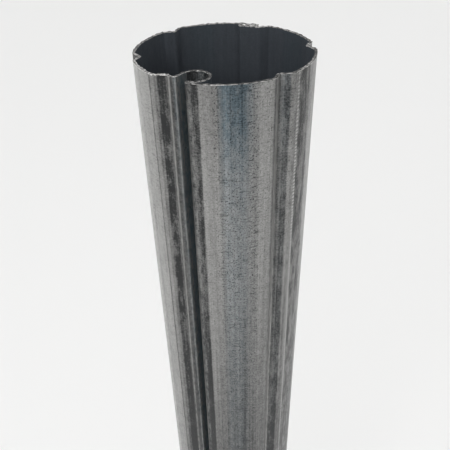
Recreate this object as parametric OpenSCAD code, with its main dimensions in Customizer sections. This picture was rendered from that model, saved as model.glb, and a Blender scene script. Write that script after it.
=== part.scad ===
// Awning roller tube: one strip of galvanised steel sheet, rolled to a round
// tube with a keder track, four key grooves and an inside lock seam.
// Millimetres. The tube stands on its saw-cut end, its axis is Z.

/* [Tube] */
// Outer diameter of the tube
outer_diameter = 78; // [60:1:100]
// Thickness of the sheet
wall = 1.0; // [0.8:0.1:1.4]
// Length of the cut piece
length = 1000; // [300:50:6000]
// Inside radius of every press bend
bend_radius = 0.8; // [0.4:0.1:1.4]

/* [Keder track] */
// Direction in which the track faces
track_angle = 248; // [0:1:359]
// Clear diameter of the round chamber for the keder
chamber_diameter = 11; // [9:0.5:13]
// Turn of the chamber's middle from the track's direction
chamber_lean = 0.5; // [0:0.5:3]
// How far the chamber's skin is pressed into the outer wall at the lip
hem_press = 0.15; // [0.1:0.05:0.3]
// Turn of the folded lip from the track's direction
lip_turn = 0.5; // [0:0.1:1]
// Turn at which the wall leaves the round, before the track
entry_turn = 27; // [25:0.5:30]
// Turn of the shoulder between the entry and the crest
shoulder_turn = 22.9; // [21:0.1:24.5]
// Depth of the shoulder under the round
shoulder_depth = 1.0; // [0.6:0.1:1.6]
// Turn of the crest between the shoulder and the mouth
crest_turn = 17.2; // [15.5:0.1:19]
// Depth of the crest under the round
crest_depth = 3.5; // [2.8:0.1:4]
// Turn of the mouth's corner
corner_turn = 10.4; // [9:0.2:12]
// Depth of the mouth's corner under the round
corner_depth = 2.2; // [1.5:0.1:2.7]

/* [Key grooves] */
// Width of a groove at its mouth
groove_width = 8.8; // [7:0.2:11]
// Depth of a groove to the corner of its floor
groove_depth = 3.0; // [2:0.1:4]
// Share of the width that the steep flank takes
groove_steep_share = 0.45; // [0.3:0.05:0.5]
// Turn of the line halfway between the grooves from the track's direction
groove_lean = -0.7; // [-2:0.1:2]
// Turn of the two near grooves from that line
near_groove_turn = 58.9; // [55:0.1:65]
// Turn of the two far grooves from that line
far_groove_turn = 117; // [112:0.5:122]

/* [Lock seam] */
// Turn from the track to the right-hand fold of the seam
seam_turn = 181.5; // [176:0.5:186]
// Length over which the two hems lie in each other
seam_overlap = 6.6; // [5:0.2:9]
// Play between the layers of the seam
seam_play = 0.12; // [0.08:0.02:0.2]
// Length of the joggle that takes the wall under the seam
joggle_length = 3.8; // [3.2:0.2:6]
// Distance from the joggle's foot to the fold
joggle_lead = 3.0; // [2.8:0.2:4]

/* [Hidden] */
$fn = 180;
outer_radius = outer_diameter / 2;
inner_radius = outer_radius - wall;
clear_radius = outer_radius + 3;
chamber_radius = chamber_diameter / 2;
loop_radius = chamber_radius + wall;
chamber_angle = track_angle + chamber_lean;
chamber_distance = inner_radius + hem_press - loop_radius;
chamber_middle = polar(chamber_distance, chamber_angle);
lip_angle = track_angle + lip_turn;
lip_radius = (outer_radius - chamber_distance - chamber_radius) / 2;
nip = 0.02;
bend_steps = 7;
groove_half_turn = degrees_of(groove_width) / 2;
key_angle = track_angle + groove_lean;
fold_angle = track_angle - seam_turn;
far_fold_angle = fold_angle + degrees_of(seam_overlap);
layer = wall + seam_play;
fold_outer = layer + wall / 2;
fold_inner = fold_outer - wall;
hem_slack = degrees_of(fold_inner);
steel = [0.62, 0.64, 0.64];

// Point at a distance from the axis and an angle
function polar(r, a) = [r * cos(a), r * sin(a)];

// Angle that a length takes on the outside of the tube
function degrees_of(mm) = mm / outer_radius * 180 / PI;

// Unit vector along the tube's round at an angle
function along(a) = [-sin(a), cos(a)];

// Unit vector of v
function unit(v) = v / norm(v);

// Vector v turned a quarter to the left
function left(v) = [-v[1], v[0]];

// Vector v turned by angle a
function turned(v, a) = [v[0] * cos(a) - v[1] * sin(a), v[0] * sin(a) + v[1] * cos(a)];

// Angle from direction u to direction v, left turns positive
function turn(u, v) = atan2(u[0] * v[1] - u[1] * v[0], u * v);

// Points on an arc about c
function arc(c, r, a0, a1, n) = [for (i = [0:n]) c + polar(r, a0 + (a1 - a0) * i / n)];

// Points on an arc about the tube's axis
function round_run(r, a0, a1) = arc([0, 0], r, a0, a1, 6);

// Corner b of the path a, b, c, moved d to the left of the path
function moved(a, b, c, d) =
    let (n0 = left(unit(b - a)), n1 = left(unit(c - b)))
    b + d * (n0 + n1) / (1 + n0 * n1);

// Arc that rounds the corner b of the path a, b, c
function rounded(a, b, c, r) =
    let (u = unit(b - a), t = turn(u, unit(c - b)), s = sign(t))
    let (m = b - u * r * tan(abs(t) / 2) + s * r * left(u))
    [for (i = [0:bend_steps]) m - s * r * left(turned(u, t * i / bend_steps))];

// One skin of the sheet: the path's corners moved d inward and rounded, so
// that both skins of a bend share their middle and the sheet stays even
function skin(path, d) = [
    for (k = [1:len(path) - 2])
        let (a = path[k - 1], b = path[k], c = path[k + 1])
        let (n0 = left(unit(b - a)), n1 = left(unit(c - b)))
        let (inward = turn(unit(b - a), unit(c - b)) > 0)
        let (r = bend_radius + (inward ? wall - d : d))
        each rounded(
            k == 1 ? a + d * n0 : moved(path[k - 2], a, b, d),
            moved(a, b, c, d),
            k == len(path) - 2 ? c + d * n1 : moved(b, c, path[k + 2], d),
            r
        )
];

// Point straight outside of p, clear of the tube
function outside(p) = clear_radius * unit(p);

// Path of a key groove between its two mouth angles
function groove_path(a0, floor_angle, a1) = [
    polar(outer_radius, a0) - 5 * along(a0),
    polar(outer_radius, a0),
    polar(outer_radius - groove_depth, floor_angle),
    polar(outer_radius, a1),
    polar(outer_radius, a1) + 5 * along(a1)
];

// Key groove about a middle angle; its steep flank lies on the given side
function key_path(middle, side) =
    let (a0 = middle - groove_half_turn, a1 = middle + groove_half_turn)
    let (steep = 2 * groove_half_turn * groove_steep_share)
    groove_path(a0, side < 0 ? a0 + steep : a1 - steep, a1);

key_paths = [
    key_path(key_angle + near_groove_turn, -1),
    key_path(key_angle - near_groove_turn, 1),
    key_path(key_angle + far_groove_turn, 1),
    key_path(key_angle - far_groove_turn, -1)
];

// Path of the sheet from the round over the mouth's corner to the chamber
entry_angle = track_angle - entry_turn;
corner = polar(outer_radius - corner_depth, track_angle - corner_turn);
reach = chamber_middle - corner;
touch = chamber_radius - nip;
flank_angle = atan2(reach[1], reach[0]) + asin(touch / norm(reach));
flank = polar(sqrt(reach * reach - touch * touch), flank_angle);
track_path = [
    polar(outer_radius, entry_angle) - 5 * along(entry_angle),
    polar(outer_radius, entry_angle),
    polar(outer_radius - shoulder_depth, track_angle - shoulder_turn),
    polar(outer_radius - crest_depth, track_angle - crest_turn),
    corner,
    corner + flank
];
track_end = corner + flank;

// Path of the sheet from the round down under the lock seam
joggle_foot = fold_angle - degrees_of(joggle_lead);
joggle_head = joggle_foot - degrees_of(joggle_length);
under_radius = outer_radius - 3 * layer;
joggle_path = [
    polar(outer_radius, joggle_head) - 5 * along(joggle_head),
    polar(outer_radius, joggle_head),
    polar(under_radius, joggle_foot),
    polar(under_radius, joggle_foot) + 5 * along(joggle_foot)
];
near_fold = polar(outer_radius - fold_outer, fold_angle);
far_fold = polar(outer_radius - layer - fold_outer, far_fold_angle);

// Space between the two edges of the sheet, from the joggle outside the tube
// round both hems to the inside of the tube
seam_space = concat(
    [outside(joggle_path[1])],
    skin(joggle_path, 0),
    round_run(under_radius, fold_angle, far_fold_angle),
    arc(far_fold, fold_inner, far_fold_angle + 180, far_fold_angle, 8),
    round_run(outer_radius - layer - wall, far_fold_angle, fold_angle + hem_slack),
    round_run(outer_radius - layer - nip, fold_angle + hem_slack, far_fold_angle + 1),
    round_run(inner_radius + nip, far_fold_angle + 1, fold_angle),
    arc(near_fold, fold_inner, fold_angle, fold_angle - 180, 8),
    round_run(outer_radius - 2 * layer, fold_angle, far_fold_angle - hem_slack),
    round_run(outer_radius - 2 * layer - wall, far_fold_angle - hem_slack, fold_angle),
    arc(near_fold, fold_outer, fold_angle - 180, fold_angle - 8, 12)
);

// The keder track as seen from outside: mouth and entry, without the chamber
module track_mouth() {
    run = skin(track_path, 0);
    polygon(concat(
        [outside(run[0])],
        run,
        [track_end, polar(chamber_distance, lip_angle), polar(clear_radius, lip_angle)],
        [polar(clear_radius, entry_angle + 9)]
    ));
}

// The keder track with its sheet, as seen from inside the tube
module track_cover() {
    run = skin(track_path, wall);
    end = track_end + wall * left(unit(flank));
    polygon(concat(
        [outside(run[0])],
        run,
        [end, chamber_middle, polar(clear_radius, chamber_angle)],
        [polar(clear_radius, entry_angle + 9)]
    ));
    translate(chamber_middle)
        circle(r = loop_radius);
}

// A key groove with its sheet moved d inward
module key_groove(path, d) {
    run = skin(path, d);
    polygon(concat([outside(run[0])], run, [outside(run[len(run) - 1])]));
}

// The lock seam with all its layers, as seen from inside the tube
module seam_cover() {
    run = skin(joggle_path, wall);
    polygon(concat(
        [outside(run[0])],
        run,
        round_run(under_radius - wall, fold_angle, far_fold_angle),
        arc(far_fold, fold_outer, far_fold_angle + 180, far_fold_angle, 12),
        [polar(inner_radius - seam_play / 2, far_fold_angle - 1)],
        [polar(clear_radius, far_fold_angle - 1)]
    ));
}

// Everything inside the outer skin of the sheet
module outer_shape() {
    difference() {
        circle(r = outer_radius);
        for (path = key_paths)
            key_groove(path, 0);
        track_mouth();
        translate(chamber_middle)
            circle(r = chamber_radius);
        polygon(seam_space);
    }
    translate(polar(outer_radius - lip_radius, lip_angle))
        circle(r = lip_radius - nip);
}

// Everything inside the inner skin of the sheet
module inner_shape() {
    difference() {
        circle(r = inner_radius);
        for (path = key_paths)
            key_groove(path, wall);
        track_cover();
        seam_cover();
    }
}

// The rolled strip, cut square at both ends
module roller_tube() {
    color(steel)
        linear_extrude(height = length)
            difference() {
                outer_shape();
                inner_shape();
            }
}

roller_tube();
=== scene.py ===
"""Awning roller tube: the looks of one rolled strip of galvanised steel."""

import logging
import math
from dataclasses import dataclass, field
from enum import Enum

import bpy
import numpy as np
from mathutils import Matrix, Vector


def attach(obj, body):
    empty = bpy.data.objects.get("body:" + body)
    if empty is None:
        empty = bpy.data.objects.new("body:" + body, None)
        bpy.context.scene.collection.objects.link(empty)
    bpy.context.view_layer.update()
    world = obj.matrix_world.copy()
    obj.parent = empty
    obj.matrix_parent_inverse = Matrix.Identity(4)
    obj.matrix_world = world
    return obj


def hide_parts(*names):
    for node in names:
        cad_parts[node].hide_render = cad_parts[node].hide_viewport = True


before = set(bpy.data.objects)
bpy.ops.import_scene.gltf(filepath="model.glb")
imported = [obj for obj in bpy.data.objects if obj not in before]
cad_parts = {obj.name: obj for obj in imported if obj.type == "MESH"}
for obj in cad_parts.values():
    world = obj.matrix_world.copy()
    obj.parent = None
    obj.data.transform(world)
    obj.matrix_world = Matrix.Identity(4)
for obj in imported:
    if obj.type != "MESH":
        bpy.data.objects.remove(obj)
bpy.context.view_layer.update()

MM = 0.001
TUBE_LENGTH = 1000.0
AXIS = np.zeros(2)
LOG = logging.getLogger("roller_tube")
Point = np.ndarray
Place = tuple[float, float, float]
Colour = tuple[float, float, float]
Tree = bpy.types.NodeTree
Socket = bpy.types.NodeSocket
Value = Socket | float | Colour
Inputs = dict[str | int, Value]


class Face(Enum):
    """The faces of the strip, each with the index of its material slot."""

    OUTSIDE = 0
    INSIDE = 1
    SAWN = 2


# ---- the section ----


def polar(radius: float, degrees: float) -> Point:
    """Return the point at a distance from the tube's axis and an angle."""
    a = math.radians(degrees)
    return np.array([radius * math.cos(a), radius * math.sin(a)])


def unit(v: Point) -> Point:
    """Return v at length one."""
    return v / np.linalg.norm(v)


def left_of(v: Point) -> Point:
    """Return v turned a quarter to the left."""
    return np.array([-v[1], v[0]])


def angle_after(point: Point, start: float) -> float:
    """Find the angle of a point on the tube's round.

    Args:
        point: the point.
        start: angle in degrees that the result comes after.

    Returns:
        The angle in degrees, over 360 where it has to be.
    """
    a = math.degrees(math.atan2(point[1], point[0]))
    while a < start:
        a += 360.0
    return a


@dataclass
class Strip:
    """The section of a strip as pairs of points, one on each of its skins.

    Attributes:
        pitch: longest step from one pair to the next, in mm.
        shortest: shortest step, in mm.
        outer: points on the skin that ends up outside the tube, in mm.
        inner: points on the other skin, in mm.
        bend: how sharply the sheet is bent at each pair, 0 to 1.
    """

    pitch: float = 0.36
    shortest: float = 0.02
    outer: list[Point] = field(default_factory=list)
    inner: list[Point] = field(default_factory=list)
    bend: list[float] = field(default_factory=list)

    def add(self, outer: Point, inner: Point, bend: float) -> None:
        """Add one pair, unless it lies on the last one.

        Args:
            outer: point on the outer skin.
            inner: point on the inner skin.
            bend: how sharply the sheet is bent here, 0 to 1.
        """
        if self.outer:
            step = (outer + inner) / 2 - (self.outer[-1] + self.inner[-1]) / 2
            if np.linalg.norm(step) < self.shortest:
                return
        self.outer.append(outer)
        self.inner.append(inner)
        self.bend.append(bend)

    def straight_to(self, outer: Point, inner: Point) -> None:
        """Run straight from the last pair to a new one.

        Args:
            outer: end on the outer skin.
            inner: end on the inner skin.
        """
        o0, i0 = self.outer[-1], self.inner[-1]
        steps = max(1, math.ceil(np.linalg.norm(outer - o0) / self.pitch))
        for k in range(1, steps + 1):
            t = k / steps
            self.add(o0 + (outer - o0) * t, i0 + (inner - i0) * t, 0.0)

    def arc(self, radii: tuple[float, float], turn: tuple[float, float], middle: Point = AXIS,
            bend: float = 0.0, finer: float = 1.0) -> None:
        """Run along an arc.

        Args:
            radii: radius of the outer skin and of the inner one.
            turn: start and end angle in degrees.
            middle: the arc's middle.
            bend: how sharply the sheet is bent here, 0 to 1.
            finer: how many times shorter than usual its steps are.
        """
        length = math.radians(abs(turn[1] - turn[0])) * max(radii)
        steps = max(2, math.ceil(length / (self.pitch / finer)))
        for k in range(steps + 1):
            a = turn[0] + (turn[1] - turn[0]) * k / steps
            self.add(middle + polar(radii[0], a), middle + polar(radii[1], a), bend)

    def distances(self) -> np.ndarray:
        """Measure the strip along its middle.

        Returns:
            The distance of each pair along the strip, in mm.
        """
        mid = (np.array(self.outer) + np.array(self.inner)) / 2
        steps = np.linalg.norm(np.diff(mid, axis=0), axis=1)
        return np.concatenate([[0.0], np.cumsum(steps)])


@dataclass
class TubeSection(Strip):
    """The strip of the tube, rolled to its sizes in mm and degrees from the part's source.

    The mesh's own values come last: the chords of a bend, the straight lead at a path's
    ends, the inside of the lip's fold, and how sharply the seam's folds and the chamber
    are bent beside a press bend.
    """

    outer_radius: float = 39.0
    wall: float = 1.0
    bend_radius: float = 0.8
    track_angle: float = 248.0
    chamber_radius: float = 5.5
    chamber_lean: float = 0.5
    lip_turn: float = 0.5
    entry_turn: float = 27.0
    shoulder_turn: float = 22.9
    shoulder_depth: float = 1.0
    crest_turn: float = 17.2
    crest_depth: float = 3.5
    corner_turn: float = 10.4
    corner_depth: float = 2.2
    groove_width: float = 8.8
    groove_depth: float = 3.0
    groove_steep_share: float = 0.45
    groove_lean: float = -0.7
    near_groove_turn: float = 58.9
    far_groove_turn: float = 117.0
    seam_turn: float = 181.5
    seam_overlap: float = 6.6
    seam_play: float = 0.12
    joggle_length: float = 3.8
    joggle_lead: float = 3.0
    bend_steps: int = 8
    lead: float = 5.0
    lip_inside: float = 0.03
    seam_bend: float = 0.6
    chamber_bend: float = 0.25

    @property
    def inner_radius(self) -> float:
        """Radius of the round's inner skin."""
        return self.outer_radius - self.wall

    @property
    def layer(self) -> float:
        """Distance from one layer of the lock seam to the next."""
        return self.wall + self.seam_play

    @property
    def fold_radius(self) -> float:
        """Outer radius of the lock seam's two folds."""
        return self.layer + self.wall / 2

    @property
    def near_fold(self) -> float:
        """Angle of the seam's near fold."""
        return self.track_angle - self.seam_turn

    @property
    def far_fold(self) -> float:
        """Angle of the seam's far fold."""
        return self.near_fold + self.degrees_of(self.seam_overlap)

    @property
    def hem_slack(self) -> float:
        """Angle by which a hem's edge stays clear of the other hem's fold."""
        return self.degrees_of(self.fold_radius - self.wall)

    def degrees_of(self, mm: float) -> float:
        """Return the angle that a length takes on the outside of the tube."""
        return math.degrees(mm / self.outer_radius)

    def tangent(self, radius: float, degrees: float, mm: float) -> Point:
        """Return the point that lies a length along the tangent at an angle."""
        return polar(radius, degrees) + mm * left_of(polar(1.0, degrees))

    def corner(self, a: Point, b: Point, c: Point) -> list[tuple[Point, Point]]:
        """Round the corner b of the path a, b, c, about one middle for both skins.

        Args:
            a: point before the corner, on the outer skin.
            b: the corner.
            c: point after the corner.

        Returns:
            The pairs of points along the bend, its two ends included.
        """
        u, v = unit(b - a), unit(c - b)
        turn = math.atan2(u[0] * v[1] - u[1] * v[0], float(u @ v))
        side = math.copysign(1.0, turn)
        radii = [self.bend_radius, self.bend_radius + self.wall]
        if turn > 0:
            radii.reverse()
        middle = b - u * radii[0] * math.tan(abs(turn) / 2) + side * radii[0] * left_of(u)
        pairs = []
        for i in range(self.bend_steps + 1):
            t = turn * i / self.bend_steps
            ahead = u * math.cos(t) + left_of(u) * math.sin(t)
            pairs.append(tuple(middle - side * r * left_of(ahead) for r in radii))
        return pairs

    def fold_along(self, start: float, path: list[Point]) -> float:
        """Follow the round to a path, then fold the sheet along it.

        Args:
            start: angle at which the round is now.
            path: corners on the outer skin, with a straight lead at each end.

        Returns:
            The angle at which the path's last bend ends.
        """
        corners = [self.corner(*legs) for legs in zip(path, path[1:], path[2:])]
        turn = (start, angle_after(corners[0][0][0], start))
        self.arc((self.outer_radius, self.inner_radius), turn)
        for corner in corners:
            self.straight_to(*corner[0])
            for outer, inner in corner:
                self.add(outer, inner, 1.0)
        return angle_after(corners[-1][-1][0], start)

    def groove_path(self, middle: float, steep_first: bool) -> list[Point]:
        """Return the path of a key groove.

        Args:
            middle: angle of the middle of its mouth.
            steep_first: whether its steep flank comes first.

        Returns:
            The corners of the path on the outer skin.
        """
        r, half = self.outer_radius, self.degrees_of(self.groove_width) / 2
        steep = 2 * half * self.groove_steep_share
        a0, a1 = middle - half, middle + half
        return [
            self.tangent(r, a0, -self.lead),
            polar(r, a0),
            polar(r - self.groove_depth, a0 + steep if steep_first else a1 - steep),
            polar(r, a1),
            self.tangent(r, a1, self.lead),
        ]

    def seam_start(self) -> None:
        """Add the strip's first edge: the hem that hooks in under the seam."""
        r, w, bend, fold = self.outer_radius, self.wall, self.fold_radius, self.near_fold
        hem = r - 2 * self.layer
        self.arc((hem - w, hem), (self.far_fold - self.hem_slack, fold))
        middle, turn = polar(r - bend, fold), (fold - 180, fold)
        self.arc((bend, bend - w), turn, middle, self.seam_bend, 2.0)

    def seam_end(self, start: float) -> None:
        """Add the strip's last edge: the joggle, the layer under the seam and its hem.

        Args:
            start: angle at which the round is now.
        """
        r, w, bend = self.outer_radius, self.wall, self.fold_radius
        fold, far_fold = self.near_fold, self.far_fold
        under, hem = r - 3 * self.layer, r - self.layer
        foot = fold - self.degrees_of(self.joggle_lead)
        head = foot - self.degrees_of(self.joggle_length)
        self.fold_along(start, [
            self.tangent(r, head, -self.lead),
            polar(r, head),
            polar(under, foot),
            self.tangent(under, foot, self.lead),
        ])
        self.straight_to(polar(under, fold), polar(under - w, fold))
        self.arc((under, under - w), (fold, far_fold))
        middle, turn = polar(hem - bend, far_fold), (far_fold + 180, far_fold)
        self.arc((bend - w, bend), turn, middle, self.seam_bend, 2.0)
        self.arc((hem - w, hem), (far_fold, fold + self.hem_slack))

    def keder_track(self, start: float) -> float:
        """Follow the round to the keder track and fold the track.

        Args:
            start: angle at which the round is now.

        Returns:
            The angle of the folded lip, where the round goes on.
        """
        r, w, t = self.outer_radius, self.wall, self.track_angle
        chamber, loop = self.chamber_radius, self.chamber_radius + w
        middle = polar(self.inner_radius - loop, t + self.chamber_lean)
        corner = polar(r - self.corner_depth, t - self.corner_turn)
        reach = middle - corner
        length = float(np.linalg.norm(reach))
        flank_angle = math.atan2(reach[1], reach[0]) + math.asin(chamber / length)
        flank_length = math.sqrt(length**2 - chamber**2)
        touch = corner + flank_length * np.array([math.cos(flank_angle), math.sin(flank_angle)])
        entry = t - self.entry_turn
        self.fold_along(start, [
            self.tangent(r, entry, -self.lead),
            polar(r, entry),
            polar(r - self.shoulder_depth, t - self.shoulder_turn),
            polar(r - self.crest_depth, t - self.crest_turn),
            corner,
            touch,
        ])
        side = left_of(unit(touch - corner))
        self.straight_to(touch, touch + w * side)
        lip = t + self.lip_turn
        turn = (math.degrees(math.atan2(side[1], side[0])), lip - 360.0)
        self.arc((chamber, loop), turn, middle, self.chamber_bend, 1.5)
        nose, turn = polar(self.inner_radius, lip), (lip + 180.0, lip + 360.0)
        self.arc((w, self.lip_inside), turn, nose, 1.0, 3.0)
        return lip

    def __post_init__(self) -> None:
        """Roll the whole strip, from one of its edges to the other."""
        self.seam_start()
        at, key = self.near_fold, self.track_angle + self.groove_lean
        near, far = self.near_groove_turn, self.far_groove_turn
        for turn, steep_first in ((-far, True), (-near, False)):
            at = self.fold_along(at, self.groove_path(key + turn, steep_first))
        at = self.keder_track(at)
        for turn, steep_first in ((near, True), (far, False)):
            at = self.fold_along(at, self.groove_path(key + turn, steep_first))
        self.seam_end(at)


# ---- finishes ----


@dataclass(frozen=True)
class Wiring:
    """A shader node tree, with short ways to add to it."""

    tree: Tree

    def feed(self, node: bpy.types.Node, inputs: Inputs) -> None:
        """Link or set some of a node's inputs.

        Args:
            node: the node.
            inputs: names or places of inputs, with what each gets.
        """
        for key, value in inputs.items():
            if isinstance(value, Socket):
                self.tree.links.new(value, node.inputs[key])
            else:
                plain = (*value, 1.0) if isinstance(value, tuple) else value
                node.inputs[key].default_value = plain

    def node(self, kind: str, inputs: Inputs, **values: object) -> bpy.types.Node:
        """Add a shader node.

        Args:
            kind: the node's type name, without ShaderNode.
            inputs: names or places of inputs, with what each gets.
            **values: properties of the node.

        Returns:
            The new node.
        """
        node = self.tree.nodes.new("ShaderNode" + kind)
        for name, value in values.items():
            setattr(node, name, value)
        self.feed(node, inputs)
        return node

    def math(self, operation: str, a: Value, b: Value = 0.0, clamp: bool = False) -> Socket:
        """Return what one of Blender's sums makes of two numbers, clamped to 0 and 1 or not."""
        node = self.node("Math", {0: a, 1: b}, operation=operation, use_clamp=clamp)
        return node.outputs[0]

    def times(self, a: Value, b: Value, clamp: bool = False) -> Socket:
        """Return one number times another."""
        return self.math("MULTIPLY", a, b, clamp)

    def total(self, parts: list[tuple[Socket, float]], start: float, clamp: bool = False) -> Socket:
        """Add up values, each times its weight.

        Args:
            parts: values with their weights.
            start: number to start from.
            clamp: whether the result is kept between 0 and 1.

        Returns:
            The sum.
        """
        total: Value = start
        for k, (value, weight) in enumerate(parts):
            last = k == len(parts) - 1
            total = self.math("ADD", self.times(value, weight), total, clamp and last)
        return total

    def ramp(self, value: Socket, low: float, high: float,
             to_low: float = 0.0, to_high: float = 1.0) -> Socket:
        """Return a value mapped smoothly from one range to another."""
        inputs = dict(enumerate((value, low, high, to_low, to_high)))
        return self.node("MapRange", inputs, interpolation_type="SMOOTHSTEP").outputs[0]

    def mix(self, share: Socket, a: Value, b: Value, blend: str = "MIX") -> Socket:
        """Return a colour mixed with a share of a second one, in one of Blender's ways."""
        node = self.node("Mix", {0: share, 6: a, 7: b}, data_type="RGBA", blend_type=blend)
        return node.outputs[2]

    def field(self, name: str) -> Socket:
        """Return a number that the tube's mesh stores at each point."""
        return self.node("Attribute", {}, attribute_name=name).outputs["Fac"]

    def height(self) -> Socket:
        """Return the height on the tube in metres."""
        place = self.node("TexCoord", {}).outputs["Object"]
        return self.node("SeparateXYZ", {0: place}).outputs[2]

    def noise(self, across: float, up: float, seed: float, detail: float, rough: float) -> Socket:
        """Add a noise texture on the unrolled sheet.

        Args:
            across: texture units in a metre across the strip.
            up: texture units in a metre along the tube.
            seed: third coordinate, so that textures differ.
            detail: its octaves.
            rough: how strong the fine octaves are.

        Returns:
            The noise as a value.
        """
        at = {0: self.times(self.field("strip"), across), 1: self.times(self.height(), up), 2: seed}
        place = self.node("CombineXYZ", at).outputs[0]
        inputs = {"Vector": place, "Scale": 1.0, "Detail": detail, "Roughness": rough}
        return self.node("TexNoise", inputs).outputs[0]

    def bump(self, height: Socket, strength: float, distance: float) -> Socket:
        """Return the normal of a height that stands out by a distance in metres."""
        inputs = {"Strength": strength, "Distance": distance, "Height": height}
        return self.node("Bump", inputs).outputs["Normal"]

    def effect(self, group: Tree, value: float) -> bpy.types.NodeOutputs:
        """Return the outputs of a shared effect, with its only input set to a value."""
        return self.node("Group", {0: value}, node_tree=group).outputs

    def shade(self, inputs: Inputs) -> None:
        """Feed the principled shader of a material."""
        self.feed(self.tree.nodes["Principled BSDF"], inputs)

    def given(self) -> Socket:
        """Return the only value that a group takes in."""
        return self.tree.nodes["in"].outputs[0]

    def give(self, name: str, value: Socket) -> None:
        """Send a value out of a group."""
        self.feed(self.tree.nodes["out"], {name: value})

    def give_contrast(self, name: str, value: Socket) -> None:
        """Send a value out of a group, with the given contrast about one half."""
        centred = self.times(self.math("SUBTRACT", value, 0.5), self.given())
        self.give(name, self.math("ADD", centred, 0.5))


def new_group(name: str, given: str, outputs: tuple[str, ...]) -> Wiring:
    """Make an empty shader node group with number sockets.

    Args:
        name: the group's name.
        given: the name of its only input.
        outputs: output names.

    Returns:
        The group, with its input and output nodes in place.
    """
    tree = bpy.data.node_groups.new(name, "ShaderNodeTree")
    kind = "NodeSocketFloat"
    tree.interface.new_socket(name=given, in_out="INPUT", socket_type=kind).default_value = 1.0
    for label in outputs:
        tree.interface.new_socket(name=label, in_out="OUTPUT", socket_type=kind)
    tree.nodes.new("NodeGroupInput").name = "in"
    tree.nodes.new("NodeGroupOutput").name = "out"
    return Wiring(tree)


def new_material(name: str, inputs: Inputs) -> bpy.types.Material:
    """Make a material with its principled shader.

    Args:
        name: the material's name.
        inputs: names of the shader's inputs, with what each is set to.

    Returns:
        The new material.
    """
    mat = bpy.data.materials.new(name)
    mat.use_nodes = True
    Wiring(mat.node_tree).shade(inputs)
    return mat


# Outputs of the texture effects, each with its noise's values and the range that it keeps.
STREAKS = {
    "Fine": (2200.0, 16.0, 0.3, 3.0, 0.55, 0.26, 0.74),
    "Broad": (520.0, 4.0, 4.1, 3.0, 0.5, 0.3, 0.7),
}
BLOOM = {
    "Mottle": (480.0, 220.0, 1.7, 5.0, 0.72, 0.34, 0.66),
    "Blotch": (300.0, 75.0, 5.3, 5.0, 0.66, 0.42, 0.58),
    "Grain": (1000.0, 1300.0, 7.1, 3.0, 0.75, 0.32, 0.68),
}


def texture_group(name: str, textures: dict[str, tuple[float, ...]]) -> Tree:
    """Lay noise textures on the sheet, with one contrast for all of them.

    Args:
        name: the group's name.
        textures: outputs, each with its noise's values and the range that it keeps.

    Returns:
        The group.
    """
    group = new_group(name, "Contrast", tuple(textures))
    for output, (*noise, low, high) in textures.items():
        group.give_contrast(output, group.ramp(group.noise(*noise), low, high))
    return group.tree


def pit_group() -> Tree:
    """Mark the zinc with dark pits and short cracks across the sheet, fewer lower down.

    Returns:
        The group.
    """
    group = new_group("zinc_pits", "Amount", ("Pits",))
    pits = group.ramp(group.noise(1700.0, 1200.0, 2.9, 2.0, 0.6), 0.56, 0.65)
    cracks = group.ramp(group.noise(200.0, 1500.0, 8.2, 2.0, 0.5), 0.60, 0.68)
    both = group.math("MAXIMUM", pits, group.times(cracks, 0.7))
    near_top = group.ramp(group.height(), 0.72, 0.94, 0.4, 1.0)
    share = group.times(group.times(group.field("pits"), near_top), group.given())
    group.give("Pits", group.times(both, share, True))
    return group.tree


def wear_and_sheen_group(beads_per_metre: float = 590.0) -> Tree:
    """Rub the bends bright, in dashes, specks and rows of beads; on the crest and in the keder's
    mouth this is a painted highlight and reflection.

    Args:
        beads_per_metre: how close the beads of a row are.

    Returns:
        The group.
    """
    group = new_group("bend_wear_and_sheen", "Amount", ("WornAndSheen",))
    speck = group.noise(900.0, 330.0, 3.3, 3.0, 0.6)
    rub = group.times(group.field("wear_and_sheen"), group.ramp(speck, 0.36, 0.62))
    sway = group.noise(60.0, 130.0, 6.6, 2.0, 0.5)
    phase = group.total([(group.height(), beads_per_metre * 2 * math.pi), (sway, 9.0)], 0.0)
    beads = group.times(group.field("bead"), group.ramp(group.math("SINE", phase), -0.2, 0.7))
    group.give("WornAndSheen", group.times(group.math("MAXIMUM", rub, beads), group.given(), True))
    return group.tree


def burr_group() -> Tree:
    """Lay bare, ragged metal along the sawn edges of both skins.

    Returns:
        The group.
    """
    group = new_group("sawn_burr", "Length", ("Bare",))
    height = group.height()
    edge = group.math("MINIMUM", group.math("SUBTRACT", TUBE_LENGTH * MM, height), height)
    ragged = group.ramp(group.noise(900.0, 300.0, 9.4, 3.0, 0.65), 0.40, 0.66)
    reach = group.times(group.times(ragged, group.field("burr")), group.given())
    group.give("Bare", group.math("GREATER_THAN", reach, edge))
    return group.tree


@dataclass(frozen=True)
class Effects:
    """The shared surface effects, each built once.

    Attributes:
        streaks: rolling streaks along the sheet.
        bloom: mottled bloom, blotches and grain of the zinc.
        pits: dark pits and short cracks.
        wear_and_sheen: bright rubbing on the bends, and painted highlights and reflections.
        burr: bare metal along the sawn edges.
    """

    streaks: Tree
    bloom: Tree
    pits: Tree
    wear_and_sheen: Tree
    burr: Tree


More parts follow.
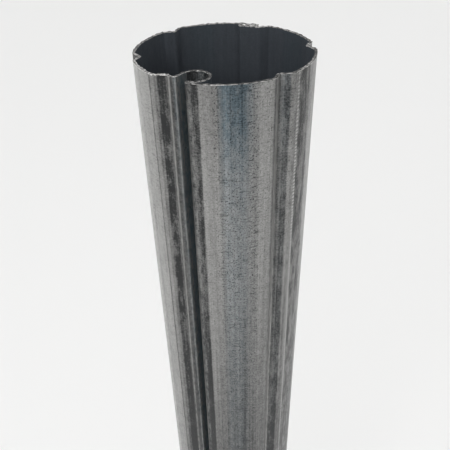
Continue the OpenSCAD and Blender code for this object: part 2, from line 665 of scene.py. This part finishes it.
@dataclass(frozen=True)
class ZincFinish:
    """Hot-dip zinc on rolled sheet.

    Attributes:
        name: the material's name.
        light: colour of the clean, pale zinc.
        dark: colour of the dull, stained zinc, and of the painted shade.
        blue: tint of the bluish bloom, and of the painted bluish reflection.
        rubbed_and_highlit: colour where the bends are rubbed bright, and of the painted highlights
            and reflections.
        bare: colour of the burred metal at the sawn edges.
        metallic: how metallic the zinc is under its bloom.
        darkness: how dark the sheet is where the rolls left no band.
        banding: how strongly the bands of the rolls show.
        painted_falloff: how much painted shade darkens the sheet below its upper end, for light
            falling off down the tube.
        wear_and_sheen: how much the bends are rubbed, and how strong the painted highlights and
            reflections are.
        contrast: strength of the streaks and of the mottling.
        roughness: lowest and highest roughness.
        relief: height of the bump in metres.
    """

    name: str
    light: Colour
    dark: Colour
    blue: Colour
    rubbed_and_highlit: Colour
    bare: Colour
    metallic: float
    darkness: float
    banding: float
    painted_falloff: float
    wear_and_sheen: float
    contrast: float
    roughness: tuple[float, float]
    relief: float

    def material(self, effects: Effects) -> bpy.types.Material:
        """Build the material.

        Args:
            effects: the shared effects.

        Returns:
            The new material.
        """
        mat = new_material(self.name, {"Metallic": self.metallic})
        wire = Wiring(mat.node_tree)
        streaks = wire.effect(effects.streaks, self.contrast)
        bloom = wire.effect(effects.bloom, self.contrast)
        pits = wire.effect(effects.pits, self.banding)["Pits"]
        rubbed_and_highlit = wire.effect(effects.wear_and_sheen, self.wear_and_sheen)["WornAndSheen"]
        bare = wire.effect(effects.burr, 1.0)["Bare"]

        blotch = wire.math("SUBTRACT", bloom["Blotch"], 0.5)
        grime = wire.times(blotch, wire.field("grime"))
        height = wire.height()
        # Painted shade: darker from 70 mm under the upper end, full from 300 mm, easing to less
        # than half of that near the lower end.
        shade_below_end = wire.ramp(height, 0.70, 0.93, self.painted_falloff, 0.0)
        painted_shade_lower = wire.times(shade_below_end, wire.ramp(height, 0.05, 0.70, 0.42, 1.0))
        texture_middle = 0.34  # half of what the first four values can add
        # The darkness adds the streaks, mottle and grain, the painted shade lower down, the
        # blotches, the pits and the bands' tone, which is partly painted shade and light.
        darkness = wire.total([
            (streaks["Fine"], 0.16),
            (streaks["Broad"], 0.12),
            (bloom["Mottle"], 0.14),
            (bloom["Grain"], 0.26),
            (painted_shade_lower, 1.0),
            (grime, self.banding),
            (pits, 0.8),
            (wire.field("tone"), self.banding),
        ], self.darkness - texture_middle, True)
        mottled = wire.ramp(bloom["Mottle"], 0.0, 1.0, 0.6, 1.0)
        # The bluish veil: zinc bloom, and on the front bands and in the keder's mouth a painted
        # reflection.
        veil = wire.times(wire.field("blue"), mottled, True)
        colour = wire.mix(darkness, self.light, self.dark)
        colour = wire.mix(veil, colour, self.blue, "MULTIPLY")
        # Rubbed zinc, and painted highlights and reflections on the crest and in the keder's mouth.
        colour = wire.mix(rubbed_and_highlit, colour, self.rubbed_and_highlit)

        low, high = self.roughness
        half = (high - low) / 2
        relief = wire.total([
            (streaks["Fine"], 0.3),
            (bloom["Grain"], 0.5),
            (grime, 0.8),
            (pits, -0.6),
            (bare, 0.6),
        ], 0.0)
        wire.shade({
            "Base Color": wire.mix(bare, colour, self.bare),
            "Roughness": wire.total([(bloom["Mottle"], half), (streaks["Broad"], half)], low),
            "Normal": wire.bump(relief, 0.6, self.relief),
        })
        return mat


@dataclass(frozen=True)
class SawnFinish:
    """Bare steel where the saw has cut the sheet.

    Attributes:
        name: the material's name.
        bright: colour of the fresh metal.
        dull: colour between the saw's marks.
        glint: colour of the bright specks on the burr, painted glints.
        roughness: lowest and highest roughness.
        relief: height of the saw's marks in metres.
    """

    name: str = "sawn_steel"
    bright: Colour = (0.40, 0.395, 0.385)
    dull: Colour = (0.07, 0.07, 0.07)
    glint: Colour = (0.88, 0.88, 0.87)
    roughness: tuple[float, float] = (0.40, 0.62)
    relief: float = 0.00015

    def material(self) -> bpy.types.Material:
        """Build the material.

        Returns:
            The new material.
        """
        mat = new_material(self.name, {"Metallic": 1.0})
        wire = Wiring(mat.node_tree)
        marks = wire.noise(1000.0, 0.0, 6.2, 4.0, 0.7)
        patches = wire.noise(120.0, 0.0, 3.9, 2.0, 0.5)
        specks = wire.noise(640.0, 0.0, 8.8, 3.0, 0.6)
        fresh_and_highlit = wire.field("fresh_and_highlit")
        dull = wire.total([
            (wire.ramp(marks, 0.34, 0.66), 1.0),
            (wire.ramp(patches, 0.35, 0.65), 0.5),
        ], -0.1, True)
        dull = wire.math("ADD", dull, wire.ramp(fresh_and_highlit, 0.0, 1.0, 0.6, -0.4), True)
        # Painted glints: more bright specks where the edge is brightest.
        specks = wire.math("ADD", specks, wire.ramp(fresh_and_highlit, 0.0, 0.9, -0.12, 0.04))
        colour = wire.mix(dull, self.bright, self.dull)
        wire.shade({
            "Base Color": wire.mix(wire.ramp(specks, 0.58, 0.66), colour, self.glint),
            "Roughness": wire.ramp(dull, 0.0, 1.0, *self.roughness),
            "Normal": wire.bump(marks, 0.8, self.relief),
        })
        return mat


ZINC_OUTSIDE = ZincFinish(
    name="zinc_outside",
    light=(0.43, 0.428, 0.419),
    dark=(0.040, 0.041, 0.042),
    blue=(0.65, 0.855, 1.0),
    rubbed_and_highlit=(0.58, 0.58, 0.565),
    bare=(0.80, 0.79, 0.77),
    metallic=0.8,
    darkness=0.465,
    banding=0.75,
    painted_falloff=0.38,
    wear_and_sheen=0.8,
    contrast=1.0,
    roughness=(0.27, 0.43),
    relief=0.00012,
)

# The inside skin is the same zinc as the outside, with much darker colours: painted shade inside
# the tube.
ZINC_INSIDE = ZincFinish(
    name="zinc_inside",
    light=(0.086, 0.099, 0.117),
    dark=(0.038, 0.044, 0.053),
    blue=(0.80, 1.0, 1.0),
    rubbed_and_highlit=(0.12, 0.13, 0.14),
    bare=(0.62, 0.615, 0.60),
    metallic=0.3,
    darkness=0.25,
    banding=0.15,
    painted_falloff=0.0,
    wear_and_sheen=0.1,
    contrast=0.8,
    roughness=(0.68, 0.80),
    relief=0.00006,
)


# ---- the tube ----


# Depths under the upper end in mm: where that end's own marks, painted shade and reflection stop,
# where a band has drifted to its place, and where the lower marks and painted shade start and are
# full.
END_DEPTH, DRIFT_DEPTH, LOW_START, LOW_FULL = 52.0, 150.0, 60.0, 200.0
# At the upper end: the share of the pits that the bluish bloom and painted reflection hide, and of
# the beads that are missing.
HIDDEN_PITS, MISSING_BEADS = 0.72, 0.6


def eased(share: float) -> float:
    """Return a share from 0 to 1 with a smooth start and end."""
    return share * share * (3.0 - 2.0 * share)


@dataclass(frozen=True)
class RollBand:
    """A lengthwise band on the strip: marks that the forming rolls have left, on some bands with
    painted shade, highlight or reflection.

    Attributes:
        start: where the band starts at the upper end, in mm along the strip.
        end: where it ends.
        tone: how much darker it is.
        top: how much darker still it is at the upper end, lighter below zero: painted shade,
            highlight and reflection near the rim.
        low: how much darker still it is from 200 mm down, lighter below zero: partly the zinc's own
            marks, partly painted shade as light falls off down the tube.
        blue: how much bluish bloom it has at the upper end; on the front bands and in the keder's
            mouth it is a painted reflection.
        blue_low: what share of that bluish tone is left from 52 mm down.
        grime: how blotchy it is.
        pits: how many pits it has, fewer under the bluish bloom and painted reflection.
        wear_and_sheen: how much it is rubbed bright; on the crest and in the keder's mouth this is
            a painted highlight and reflection.
        bead: how strong the row of bright beads on it is, weaker at the upper end.
        drift: how far it moves on over the first 150 mm down, in mm.
        spread: how much wider it gets over the first 150 mm down, in mm.
        edge: how soft its edges are, in mm.
        fade: how much softer its end is, in mm.
    """

    start: float
    end: float
    tone: float = 0.0
    top: float = 0.0
    low: float = 0.0
    blue: float = 0.0
    blue_low: float = 0.35
    grime: float = 0.0
    pits: float = 0.0
    wear_and_sheen: float = 0.0
    bead: float = 0.0
    drift: float = 0.0
    spread: float = 0.0
    edge: float = 0.4
    fade: float = 0.0

    def share(self, along: np.ndarray, below: float) -> np.ndarray:
        """Return how much of the band lies on each point of the strip.

        Args:
            along: the points' distances along the strip in mm.
            below: how far under the upper end they are, in mm.

        Returns:
            One value from 0 to 1 for each point.
        """
        down = min(1.0, below / DRIFT_DEPTH)
        start = self.start + self.drift * down
        end = self.end + (self.drift + self.spread) * down
        rise = np.clip((along - start) / self.edge + 0.5, 0, 1)
        fall = np.clip((end - along) / (self.edge + self.fade) + 0.5, 0, 1)
        return rise * fall

    def value(self, name: str, below: float) -> float:
        """Return one of the band's strengths at a height.

        Args:
            name: which strength.
            below: how far under the upper end, in mm.

        Returns:
            The strength there.
        """
        near = eased(max(0.0, 1.0 - below / END_DEPTH))
        far = min(1.0, max(0.0, (below - LOW_START) / (LOW_FULL - LOW_START)))
        if name == "tone":
            return self.tone + self.top * near + self.low * far
        if name == "blue":
            return self.blue * (self.blue_low + (1.0 - self.blue_low) * near)
        if name == "pits":
            return self.pits * (1.0 - HIDDEN_PITS * min(1.0, self.blue) * near)
        if name == "bead":
            return self.bead * (1.0 - MISSING_BEADS * near)
        return getattr(self, name)


BAND_FIELDS = ("tone", "blue", "grime", "pits", "wear_and_sheen", "bead")

# The bands in their order along the strip, from the seam round to the seam.
ROLL_BANDS = (
    RollBand(-1.0, 8.0, tone=0.3),
    RollBand(30.0, 42.0, tone=0.05, blue=0.3, pits=0.4, edge=3.0),
    # The far key groove: darker, partly darker zinc and partly painted shade in the groove.
    RollBand(47.0, 50.5, tone=0.1, grime=0.25),
    RollBand(50.5, 56.5, tone=0.34, grime=0.3),
    RollBand(59.2, 60.0, bead=0.8),
    RollBand(60.2, 68.0, tone=0.3, grime=0.3),
    RollBand(70.0, 80.0, tone=0.02, blue=0.2, pits=0.4, edge=3.0),
    # The near key groove: darker, partly darker zinc and partly painted shade in the groove.
    RollBand(87.6, 98.5, tone=0.4, grime=0.3),
    # The left panel: lighter, partly paler zinc and partly painted light, as this side is lit
    # brighter.
    RollBand(99.0, 115.0, tone=-0.44, top=-0.05, low=-0.1, grime=0.16, pits=0.7),
    RollBand(99.0, 105.0, wear_and_sheen=0.8, edge=1.5),
    RollBand(106.2, 107.6, tone=0.08, pits=0.3, edge=1.0),
    RollBand(112.2, 112.7, low=0.25),
    # The entry bend and flank and the valley before the crest: darker bands, partly darker zinc and
    # partly painted shade in the crease and recess.
    RollBand(115.1, 115.6, tone=0.45),
    RollBand(115.6, 117.3, tone=-0.12, top=0.1, low=-0.1, grime=0.1),
    RollBand(117.3, 118.8, tone=0.2, top=0.12, grime=0.2, edge=0.8),
    RollBand(118.8, 122.1, tone=0.57, top=0.31, low=-0.02, grime=0.45),
    RollBand(122.1, 123.4, tone=0.34, top=0.12, low=0.05, grime=0.2),
    # The crest: a painted highlight along the bend, brightest at the upper end and darker lower
    # down.
    RollBand(123.5, 124.6, tone=-0.25, top=-0.26, low=0.4, wear_and_sheen=0.9),
    # The corner into the keder's mouth: painted shade along the crease.
    RollBand(124.9, 126.0, tone=0.6, top=0.1),
    # The flank in the keder's mouth, to 133 mm: bluish and, past 126.7 mm, lighter and rubbed
    # bright, a painted reflection.
    RollBand(126.0, 126.6, tone=0.45, blue=0.6),
    RollBand(126.7, 128.8, tone=-0.9, top=0.17, blue=0.6, blue_low=1.0, wear_and_sheen=1.2),
    RollBand(128.8, 133.0, tone=-0.8, top=0.52, low=-0.3, blue=1.1, blue_low=1.0, wear_and_sheen=0.6),
    RollBand(133.0, 158.0, tone=0.53, blue=0.3, blue_low=4.0),
    RollBand(158.0, 159.6, tone=0.85),
    RollBand(159.6, 163.9, tone=0.52, grime=0.3, pits=0.3),
    RollBand(159.8, 161.0, wear_and_sheen=0.22),
    # The front bands: darker and bluish at the upper end, a painted reflection, and darker lower
    # down, painted shade; the pits and fine lines are the zinc's own.
    RollBand(163.9, 169.0, tone=-0.24, top=0.15, low=0.14, pits=0.45, fade=2.4),
    RollBand(169.0, 171.4, tone=-0.23, top=0.38, low=0.17, pits=0.7, edge=1.0),
    RollBand(170.9, 171.6, tone=0.1, pits=0.3, drift=0.4),
    RollBand(172.0, 182.5, tone=-0.13, top=0.4, low=0.06, blue=1.15, blue_low=0.27, pits=1.0,
             edge=2.8, fade=2.8),
    RollBand(175.5, 183.0, tone=0.05, edge=3.0),
    RollBand(179.6, 182.6, tone=0.1, top=0.06, blue=0.35, blue_low=0.2, edge=1.4),
    RollBand(183.0, 186.6, tone=-0.01, low=0.05, blue=0.1, pits=1.1, drift=0.8, edge=1.5),
    RollBand(184.8, 185.6, tone=0.1, pits=0.3, drift=1.0),
    RollBand(187.0, 193.0, tone=-0.21, top=0.03, low=0.12, pits=0.6, edge=1.2),
    # The near key groove on the right: its dark lines are partly darker zinc and partly painted
    # shade in the groove.
    RollBand(193.5, 194.3, tone=0.45, top=0.21, low=-0.35),
    RollBand(194.3, 198.0, tone=-0.5, top=0.09, low=0.04, grime=0.2, wear_and_sheen=0.8, drift=1.0, edge=0.8),
    RollBand(198.0, 199.6, tone=0.56, top=0.1, low=-0.4, grime=0.15, drift=1.1, edge=0.6),
    RollBand(199.6, 200.9, tone=0.26, top=-0.1, low=-0.16, blue=0.2, grime=0.2, drift=1.0),
    RollBand(200.9, 203.5, tone=0.5, low=-0.16, blue=0.3, grime=0.2, drift=0.7, edge=0.6),
    RollBand(203.6, 207.2, tone=0.04, top=0.14, grime=0.2, pits=0.5),
    RollBand(207.2, 208.3, bead=1.1, drift=1.3),
    RollBand(208.3, 216.2, tone=0.44, top=0.07, low=-0.2, grime=0.45, drift=1.3, spread=4.2),
    RollBand(216.4, 232.0, tone=-0.31, top=0.26, low=0.4, grime=0.2, pits=0.3, drift=4.0, edge=1.6),
    # The far key groove on the right: darker, partly darker zinc and partly painted shade in the
    # groove.
    RollBand(234.5, 245.0, tone=0.25, grime=0.3),
    RollBand(246.4, 247.2, bead=0.8),
    RollBand(252.0, 266.0, tone=0.05, blue=0.3, pits=0.4, edge=3.0),
    RollBand(275.5, 299.0, tone=0.3),
)

# How freshly bright the sawn edge is, at places along the strip in mm: partly fresh metal, partly a
# painted highlight, bright on the left and dull at the front.
FRESH_AND_HIGHLIT_EDGE = (
    (0.0, 0.5), (9.5, 0.5), (11.0, 0.4), (85.0, 0.5), (98.0, 0.9), (117.0, 0.8), (126.0, 0.55),
    (131.0, 0.2), (150.0, 0.25), (157.0, 0.3), (160.0, 0.4), (164.0, 0.0), (192.0, 0.0),
    (195.0, 0.25), (198.0, 0.4), (206.0, 0.2), (212.0, 0.5), (225.0, 0.45), (270.0, 0.4),
    (280.0, 0.5), (299.0, 0.5),
)

# How far the bare burr reaches from the sawn edge in mm: usually, and on runs of the strip; the
# wide reach on the left panel, from 98 to 117 mm, paints a highlight along the rim's outer edge.
BURR_REACH = 0.28
BURR_RUNS = ((-1.0, 9.0, 0.5), (281.0, 300.0, 0.5), (128.0, 206.0, 0.0), (98.0, 117.0, 0.8))


@dataclass(frozen=True)
class FlatMap:
    """Where the tube's faces lie on its flat map, as shares of the map.

    Attributes:
        skins: where the outer and the inner skin start across the map.
        skin_width: width of a skin.
        raw_edges: start and end of the strip's two raw edges across the map.
        foot: where the walls start up the map.
        rise: height of the walls.
        sawn_start: where the sawn faces start across the map.
        sawn_width: their width.
        sawn_rows: where the lower sawn face's rows lie up the map.
        sawn_lift: how far above it the upper sawn face lies.
    """

    skins: tuple[float, float] = (0.002, 0.512)
    skin_width: float = 0.486
    raw_edges: tuple[tuple[float, float], ...] = ((0.4935, 0.4985), (0.5015, 0.5065))
    foot: float = 0.012
    rise: float = 0.976
    sawn_start: float = 0.002
    sawn_width: float = 0.996
    sawn_rows: tuple[float, float, float] = (0.001, 0.0045, 0.008)
    sawn_lift: float = 0.991

    def corners(self, along: np.ndarray, heights: np.ndarray) -> np.ndarray:
        """Lay both skins, the raw edges and the sawn faces out flat beside each other.

        Args:
            along: distances of the pairs along the strip.
            heights: heights of the rows as shares of the tube's length.

        Returns:
            The place on the map of each face's corners, in the order of the faces.
        """
        share, pairs = along / along[-1], len(along)
        outer, inner = (start + self.skin_width * share for start in self.skins)
        left = np.concatenate([outer, inner[::-1]])
        right = np.roll(left, -1)
        left[[pairs - 1, -1]], right[[pairs - 1, -1]] = np.array(self.raw_edges).T
        up = self.foot + self.rise * heights
        wall = np.zeros((len(up) - 1, 2 * pairs, 4, 2))
        wall[:, :, (0, 3), 0], wall[:, :, (1, 2), 0] = left[:, None], right[:, None]
        wall[:, :, (0, 1), 1], wall[:, :, (2, 3), 1] = up[:-1, None, None], up[1:, None, None]
        cap = np.zeros((pairs - 1, 2, 4, 2))
        edge = self.sawn_start + self.sawn_width * share
        cap[:, :, (0, 3), 0], cap[:, :, (1, 2), 0] = edge[:-1, None, None], edge[1:, None, None]
        for row in range(2):
            cap[:, row, :2, 1], cap[:, row, 2:, 1] = self.sawn_rows[row:row + 2]
        upper = cap + np.array([0.0, self.sawn_lift])
        return np.concatenate([part.reshape(-1) for part in (wall, cap[:, :, ::-1], upper)])


def smooth_noise(count: int, waves: int, rng: np.random.Generator) -> np.ndarray:
    """Return a seeded, smooth noise along the strip.

    Args:
        count: number of points.
        waves: number of waves in all.
        rng: the random numbers.

    Returns:
        One value from about -1 to 1 for each point.
    """
    knots = rng.uniform(-1.0, 1.0, waves + 4)
    x = np.linspace(1.0, waves + 1.0, count)
    k = np.floor(x).astype(int)
    f = x - k
    p0, p1, p2, p3 = knots[k - 1], knots[k], knots[k + 1], knots[np.minimum(k + 2, waves + 3)]
    return 0.5 * (2 * p1 + (p2 - p0) * f + (2 * p0 - 5 * p1 + 4 * p2 - p3) * f**2
                  + (3 * p1 - p0 - 3 * p2 + p3) * f**3)


def add_object(name: str, data: bpy.types.ID) -> bpy.types.Object:
    """Put a mesh, lamp or camera into the scene.

    Args:
        name: the object's name.
        data: what it shows.

    Returns:
        The object.
    """
    thing = bpy.data.objects.new(name, data)
    bpy.context.scene.collection.objects.link(thing)
    return thing


@dataclass
class RollerTube:
    """The rolled strip with its finish.

    Attributes:
        strip: the rolled strip's section.
        bands: the bands of the forming rolls.
        flat_map: the layout of the flat map.
        seed: seed of the burr and of the sheet's waviness.
        wave: how far the sheet sways out of true, in mm.
        burr: size of the burr on the sawn edges, in mm.
        burr_lift: share of that size that stands up.
        burr_flare: share of it that leans out.
        saw_wander: how far the saw's cut wanders, in mm.
        waves: waves along the strip, of the cut's slow and fast wander, the burr and the sway.
        sways: number of times that the sway changes along the tube.
        saw_sink: how far the cut lies under its edges, in mm.
        bend_wear_and_sheen: how much each bend is rubbed bright, partly a painted highlight along
            the bends, beside what the bands say.
        end_rows: heights of the mesh's rows near an end, in mm from it.
        middle_rows: number of rows between.
        middle_start: how far from the ends these start, in mm.
    """

    strip: TubeSection = field(default_factory=TubeSection)
    bands: tuple[RollBand, ...] = ROLL_BANDS
    flat_map: FlatMap = FlatMap()
    seed: int = 11
    wave: float = 0.06
    burr: float = 0.34
    burr_lift: float = 0.8
    burr_flare: float = 0.45
    saw_wander: float = 0.1
    waves: tuple[int, int, int, int] = (40, 260, 330, 24)
    sways: int = 5
    saw_sink: float = 0.03
    bend_wear_and_sheen: float = 0.12
    end_rows: tuple[float, ...] = (
        0.0, 0.12, 0.4, 0.9, 2.0, 4.5, 9.0, 18.0, 36.0, 60.0, 90.0, 120.0, 150.0)
    middle_rows: int = 8
    middle_start: float = 200.0

    def levels(self) -> np.ndarray:
        """Return the heights of the mesh's rows in mm, close together at both ends."""
        middle = np.linspace(self.middle_start, TUBE_LENGTH - self.middle_start, self.middle_rows)
        return np.array([*self.end_rows, *middle, *(TUBE_LENGTH - z for z in self.end_rows[::-1])])

    def rows_of_points(self, rng: np.random.Generator) -> tuple[np.ndarray, np.ndarray]:
        """Place the points of both skins row by row, and the middle of the sawn faces.

        Args:
            rng: the random numbers.

        Returns:
            The skins' points by row, and the points along the middle of both sawn faces, in mm.
        """
        outer, inner = np.array(self.strip.outer), np.array(self.strip.inner)
        pairs, rows = len(outer), self.levels()
        loop = np.concatenate([outer, inner[::-1]])
        away = outer - inner
        away = away / np.maximum(np.linalg.norm(away, axis=1), 1e-6)[:, None]
        out_dir = np.concatenate([away, -away[::-1]])
        slow, fast, ragged, gentle = self.waves
        saw = 0.5 * smooth_noise(pairs, slow, rng) + 0.5 * smooth_noise(pairs, fast, rng)
        saw *= self.saw_wander
        rough = [np.clip(0.4 + 0.6 * smooth_noise(pairs, ragged, rng), 0, 1) for _ in range(4)]
        wave = np.array([smooth_noise(pairs, gentle, rng) for _ in range(self.sways + 1)])
        points = np.zeros((len(rows), 2 * pairs, 3))
        for k, z in enumerate(rows):
            phase = z / TUBE_LENGTH * self.sways
            low = min(self.sways - 1, math.floor(phase))
            mix = eased(phase - low)
            sway = (wave[low] * (1 - mix) + wave[low + 1] * mix) * self.wave
            points[k, :, :2] = loop + out_dir * np.concatenate([sway, -sway[::-1]])[:, None]
            points[k, :, 2] = z
        middles = []
        for end, sign, first in ((0, -1.0, 0), (len(rows) - 1, 1.0, 2)):
            lift = np.concatenate([rough[first], rough[first + 1][::-1]]) * self.burr
            points[end, :, 2] += sign * lift * self.burr_lift + np.concatenate([saw, saw[::-1]])
            points[end, :, :2] += out_dir * (lift * self.burr_flare)[:, None]
            middle = (points[end, :pairs] + points[end, pairs:][::-1]) / 2
            middle[:, 2] = rows[end] + saw - sign * self.saw_sink
            middles.append(middle)
        return points, np.array(middles)

    def faces(self, pairs: int, rows: int) -> tuple[list[tuple[int, ...]], list[int]]:
        """List the mesh's faces with the slot of each.

        Args:
            pairs: number of pairs in the section.
            rows: number of rows.

        Returns:
            The faces, and the material slot of each.
        """
        count = 2 * pairs
        faces, slots = [], []
        for k in range(rows - 1):
            base, up = k * count, (k + 1) * count
            for i in range(count):
                j = (i + 1) % count
                faces.append((base + i, base + j, up + j, up + i))
                skin = Face.OUTSIDE if i < pairs - 1 else Face.INSIDE
                slots.append((Face.SAWN if i in (pairs - 1, count - 1) else skin).value)
        lower, upper = rows * count, rows * count + pairs
        for base, middle, upward in ((0, lower, False), ((rows - 1) * count, upper, True)):
            for i in range(pairs - 1):
                m0, m1 = middle + i, middle + i + 1
                n0, n1 = base + count - 1 - i, base + count - 2 - i
                for quad in ((base + i, base + i + 1, m1, m0), (m0, m1, n1, n0)):
                    faces.append(quad if upward else quad[::-1])
                    slots.append(Face.SAWN.value)
        return faces, slots

    def build(self) -> bpy.types.Object:
        """Build the mesh of the tube.

        Returns:
            The tube.
        """
        points, middles = self.rows_of_points(np.random.default_rng(self.seed))
        faces, slots = self.faces(len(self.strip.outer), len(points))
        mesh = bpy.data.meshes.new("rolled_strip")
        places = np.concatenate([points.reshape(-1, 3), middles.reshape(-1, 3)]) * MM
        mesh.from_pydata(places.tolist(), [], faces)
        mesh.polygons.foreach_set("material_index", slots)
        mesh.polygons.foreach_set("use_smooth", [True] * len(faces))
        self.write_fields(mesh)
        corners = self.flat_map.corners(self.strip.distances(), self.levels() / TUBE_LENGTH)
        flat = mesh.uv_layers.new(name="OFBake")
        flat.data.foreach_set("uv", corners.astype(np.float32))
        mesh.update()
        return add_object("rolled_strip", mesh)

    def write_fields(self, mesh: bpy.types.Mesh) -> None:
        """Store what the finishes read at each point of the mesh.

        Args:
            mesh: the tube's mesh.
        """
        along, rows = self.strip.distances(), self.levels()
        depths = TUBE_LENGTH - np.array([*rows, rows[0], rows[-1]])
        reach = np.full(len(along), BURR_REACH)
        for start, end, value in BURR_RUNS:
            reach[(along > start) & (along < end)] = value
        even = {
            "strip": along * MM,
            "burr": reach * MM,
            "fresh_and_highlit": np.interp(along, *np.array(FRESH_AND_HIGHLIT_EDGE).T),
        }
        shape = (len(depths), len(along))
        tables = {name: np.broadcast_to(values, shape) for name, values in even.items()}
        for name in BAND_FIELDS:
            tables[name] = np.array([
                sum(band.value(name, below) * band.share(along, below) for band in self.bands)
                for below in depths
            ])
        bend = np.pad(np.array(self.strip.bend), 1, mode="edge")
        bend = np.convolve(bend, [0.25, 0.5, 0.25], mode="valid")
        tables["wear_and_sheen"] += bend * self.bend_wear_and_sheen
        for name, table in tables.items():
            skins = np.concatenate([table[:-2], table[:-2, ::-1]], axis=1)
            full = np.concatenate([skins.ravel(), table[-2:].ravel()])
            layer = mesh.attributes.new(name, "FLOAT", "POINT")
            layer.data.foreach_set("value", full.astype(np.float32))

    def dress(self, tube: bpy.types.Object, effects: Effects) -> None:
        """Give the tube its finishes, in the order of its faces' slots.

        Args:
            tube: the tube.
            effects: the shared effects.
        """
        skins = [finish.material(effects) for finish in (ZINC_OUTSIDE, ZINC_INSIDE)]
        for mat in (*skins, SawnFinish().material()):
            tube.data.materials.append(mat)


# ---- the studio ----


@dataclass(frozen=True)
class SoftLamp:
    """A soft lamp of the studio.

    Attributes:
        name: the lamp's name.
        place: where it hangs, in metres.
        aim: the point that it faces.
        size: its width and height in metres.
        power: its power in watts.
        spread: how widely it shines, in degrees.
    """

    name: str
    place: Place
    aim: Place
    size: tuple[float, float]
    power: float
    spread: float

    def hang(self) -> None:
        """Hang the lamp in the scene."""
        data = bpy.data.lights.new(self.name, "AREA")
        data.shape = "RECTANGLE"
        data.size, data.size_y = self.size
        data.energy = self.power
        data.spread = math.radians(self.spread)
        lamp = add_object(self.name, data)
        lamp.location = self.place
        ahead = Vector(self.aim) - Vector(self.place)
        lamp.rotation_euler = ahead.to_track_quat("-Z", "Y").to_euler()


# One lamp overhead, one high on the left and one far behind.
LAMPS = (
    SoftLamp("overhead_soft", (0.0, 0.0, 2.8), (0.0, 0.0, 0.0), (13.0, 13.0), 196.0, 40.0),
    SoftLamp("left_soft", (-1.1, -2.5, 2.4), (0.3, 1.0, 0.0), (1.3, 1.1), 7.0, 100.0),
    SoftLamp("rim_soft", (0.2, 4.8, 2.7), (0.0, 0.0, 1.0), (2.6, 0.7), 0.8, 24.0),
)


@dataclass
class Studio:
    """Floor, lamps, world and camera.

    Attributes:
        lamps: the soft lamps.
        ambient: strength of the even surround.
        floor_colour: colour of the pale floor.
        floor_rings: radius and height of the floor's rings, in metres.
        floor_sides: number of sides of a ring.
        floor_drop: how far the floor lies under the tube, in metres.
        focal: focal length in pixels of the photo's frame.
        frame_size: width of the photo's frame in pixels.
        eye: the camera's place from the middle of the upper rim, in mm.
        pitch: how far the camera looks down, in degrees.
        roll: the camera's roll in degrees.
        yaw: the camera's turn to the side in degrees.
    """

    lamps: tuple[SoftLamp, ...] = LAMPS
    ambient: float = 0.6
    floor_colour: Colour = (0.86, 0.86, 0.855)
    floor_rings: tuple[tuple[float, float], ...] = (
        (5.0, 0.0), (6.0, 0.12), (6.8, 0.5), (7.3, 1.1), (7.5, 1.9), (7.5, 3.0))
    floor_sides: int = 64
    floor_drop: float = 0.0005
    focal: float = 554.1
    frame_size: float = 450.0
    eye: Place = (0.0, -233.6, 78.2)
    pitch: float = 36.04
    roll: float = -1.52
    yaw: float = -0.41

    def floor(self) -> bpy.types.Object:
        """Build the floor, which curves up into a low wall far all round.

        Returns:
            The floor.
        """
        sides, points = self.floor_sides, [(0.0, 0.0, -self.floor_drop)]
        for radius, height in self.floor_rings:
            for k in range(sides):
                a = 2 * math.pi * k / sides
                x, y = radius * math.cos(a), radius * math.sin(a)
                points.append((x, y, height - self.floor_drop))
        faces = [(0, 1 + k, 1 + (k + 1) % sides) for k in range(sides)]
        for ring in range(len(self.floor_rings) - 1):
            base = 1 + ring * sides
            for k in range(sides):
                j = (k + 1) % sides
                faces.append((base + k, base + sides + k, base + sides + j, base + j))
        mesh = bpy.data.meshes.new("floor")
        mesh.from_pydata(points, [], faces)
        mesh.polygons.foreach_set("use_smooth", [True] * len(faces))
        mesh.materials.append(new_material("pale_floor", {
            "Base Color": self.floor_colour, "Roughness": 0.9, "Specular IOR Level": 0.1,
        }))
        return add_object("floor", mesh)

    def world(self) -> None:
        """Set an even white surround."""
        world = bpy.data.worlds.new("surround")
        bpy.context.scene.world = world
        world.use_nodes = True
        background = world.node_tree.nodes["Background"]
        background.inputs["Color"].default_value = (1.0, 1.0, 1.0, 1.0)
        background.inputs["Strength"].default_value = self.ambient

    def camera(self) -> None:
        """Set up the camera at the photo's angle."""
        pitch, roll, yaw = (math.radians(a) for a in (self.pitch, self.roll, self.yaw))
        level = math.cos(pitch)
        ahead = Vector((math.sin(yaw) * level, math.cos(yaw) * level, -math.sin(pitch)))
        right = Vector((math.cos(yaw), -math.sin(yaw), 0.0))
        up = right.cross(ahead)
        side = right * math.cos(roll) + up * math.sin(roll)
        top = up * math.cos(roll) - right * math.sin(roll)
        data = bpy.data.cameras.new("photo_camera")
        data.sensor_width = 36.0
        data.lens = self.focal / self.frame_size * data.sensor_width
        data.clip_start = 0.01
        camera = add_object("photo_camera", data)
        eye = (Vector(self.eye) + Vector((0.0, 0.0, TUBE_LENGTH))) * MM
        turn = Matrix((side, top, -ahead)).transposed().to_4x4()
        camera.matrix_world = Matrix.Translation(eye) @ turn
        bpy.context.scene.camera = camera

    def set_up(self) -> None:
        """Build the whole studio."""
        self.floor()
        for lamp in self.lamps:
            lamp.hang()
        self.world()
        self.camera()
        bpy.context.scene.view_settings.view_transform = "Standard"


def main() -> None:
    """Build the studio and the tube, and report each piece."""
    logging.basicConfig(level=logging.INFO, format="%(name)s: %(message)s")
    effects = Effects(
        streaks=texture_group("rolling_streaks", STREAKS),
        bloom=texture_group("zinc_bloom", BLOOM),
        pits=pit_group(),
        wear_and_sheen=wear_and_sheen_group(),
        burr=burr_group(),
    )
    Studio().set_up()
    tube = RollerTube()
    piece = tube.build()
    tube.dress(piece, effects)
    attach(piece, "root")
    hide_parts("roller_tube")
    LOG.info("%s: %d faces", piece.name, len(piece.data.polygons))


if __name__ == "__main__":
    main()
